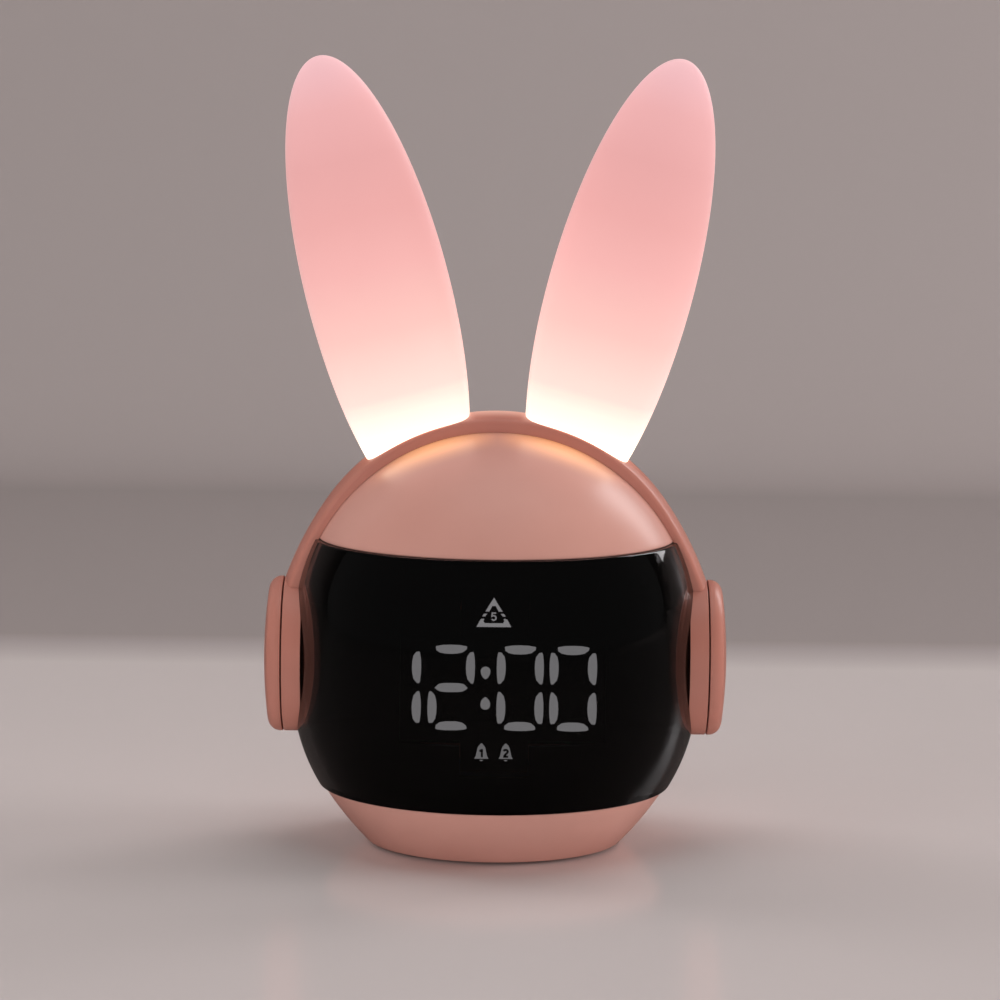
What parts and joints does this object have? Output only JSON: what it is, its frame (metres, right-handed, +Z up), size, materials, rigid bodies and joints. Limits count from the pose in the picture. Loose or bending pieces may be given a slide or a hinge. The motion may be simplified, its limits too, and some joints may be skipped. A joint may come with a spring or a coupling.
{
  "type": "kids alarm clock with night light",
  "caption": "Round table alarm clock for a child, with a glossy display band, a headband with side push cups, and two tall glowing ears as night light.",
  "frame": {"origin": "middle of the base on the table, in the lower face of the rubber foot", "axes": "+Z up along the body, -Y out of the display, +X towards the display's right-hand side"},
  "size_m": [0.115, 0.096, 0.1949],
  "materials": {
    "shell": "satin pink moulded plastic",
    "trim": "satin dusty pink moulded plastic",
    "lens": "high gloss smoked black",
    "ear": "translucent soft silicone",
    "feet": "soft matt rubber",
    "clip": "plain nylon",
    "lamp": "white light board",
    "dark": "black moulded plastic",
    "segment": "lit diffusing resin",
    "board": "green solder mask",
    "metal": "plated sheet steel",
    "gasket": "black foam",
    "cell": "blue shrink sleeve",
    "button": "soft pale silicone",
    "screw": "zinc plated steel"
  },
  "bodies": {
    "case": {"front_shell": "shell", "rear_shell": "shell", "front_lens": "lens", "base_plate": "shell", "rubber_foot": "feet", "headband": "trim", "left_cup_ring": "trim", "right_cup_ring": "trim", "left_cup_switch": "board", "right_cup_switch": "board", "left_ear": "ear", "right_ear": "ear", "left_ear_clip": "clip", "right_ear_clip": "clip", "left_ear_light": "lamp", "right_ear_light": "lamp", "display_frame": "dark", "display_segments": "segment", "display_icons": "segment", "display_board": "board", "main_board": "board", "tact_switches": "dark", "slide_switch": "metal", "processor": "dark", "usb_socket": "metal", "speaker": "dark", "speaker_gasket": "gasket", "battery_cell": "cell", "battery_holder": "dark", "battery_contacts": "metal", "control_panel": "trim", "case_screws": "screw", "base_screws": "screw", "display_screws": "screw", "board_screws": "screw"},
    "left_cup": {"left_cup_button": "trim"},
    "right_cup": {"right_cup_button": "trim"},
    "set_key": {"set_button": "button"},
    "alarm_key": {"alarm_button": "button"},
    "up_key": {"up_button": "button"},
    "down_key": {"down_button": "button"},
    "light_key": {"light_button": "button"},
    "power_knob": {"power_switch": "button"}
  },
  "joints": [
    {"name": "left_cup_press", "type": "slide", "parent": "case", "child": "left_cup", "axis": [1, 0, 0], "range_m": [0, 0.00025], "stiffness_N_per_m": 4000},
    {"name": "right_cup_press", "type": "slide", "parent": "case", "child": "right_cup", "axis": [-1, 0, 0], "range_m": [0, 0.00025], "stiffness_N_per_m": 4000},
    {"name": "set_press", "type": "slide", "parent": "case", "child": "set_key", "axis": [0, -1, 0], "range_m": [0, 0.0004], "stiffness_N_per_m": 3000},
    {"name": "alarm_press", "type": "slide", "parent": "case", "child": "alarm_key", "axis": [0, -1, 0], "range_m": [0, 0.0004], "stiffness_N_per_m": 3000},
    {"name": "up_press", "type": "slide", "parent": "case", "child": "up_key", "axis": [0, -1, 0], "range_m": [0, 0.0004], "stiffness_N_per_m": 3000},
    {"name": "down_press", "type": "slide", "parent": "case", "child": "down_key", "axis": [0, -1, 0], "range_m": [0, 0.0004], "stiffness_N_per_m": 3000},
    {"name": "light_press", "type": "slide", "parent": "case", "child": "light_key", "axis": [0, -1, 0], "range_m": [0, 0.0004], "stiffness_N_per_m": 3000},
    {"name": "power_slide", "type": "slide", "parent": "case", "child": "power_knob", "axis": [1, 0, 0], "range_m": [0, 0.004]}
  ]
}
